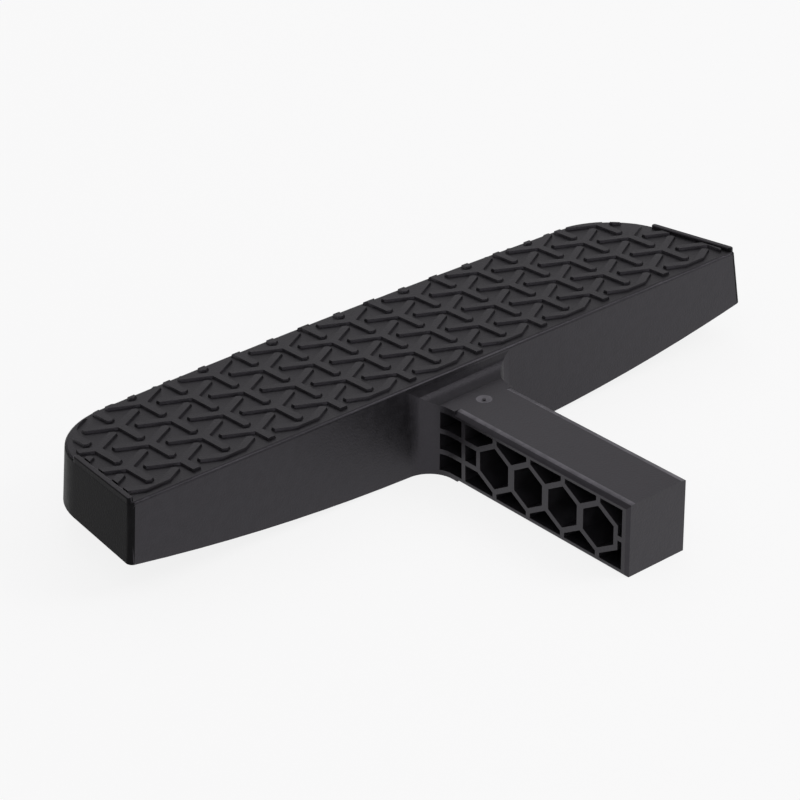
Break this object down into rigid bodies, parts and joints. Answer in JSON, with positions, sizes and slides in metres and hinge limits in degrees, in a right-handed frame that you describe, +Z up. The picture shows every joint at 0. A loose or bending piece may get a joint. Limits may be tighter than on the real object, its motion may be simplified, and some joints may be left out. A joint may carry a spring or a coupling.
{
  "type": "hitch receiver step",
  "caption": "One-piece moulded step for a hitch receiver: a honeycomb-ribbed shank carries a bowed board with a raised anti-slip tread.",
  "frame": {"origin": "centre of the hitch-pin hole in the shank's web", "axes": "+X along the board, +Y from the shank's tip to the board's rear edge, +Z up"},
  "size_m": [0.52, 0.3045, 0.0657],
  "materials": {
    "moulding": "fine textured matte"
  },
  "bodies": {
    "root": {"step": "moulding"}
  },
  "joints": []
}
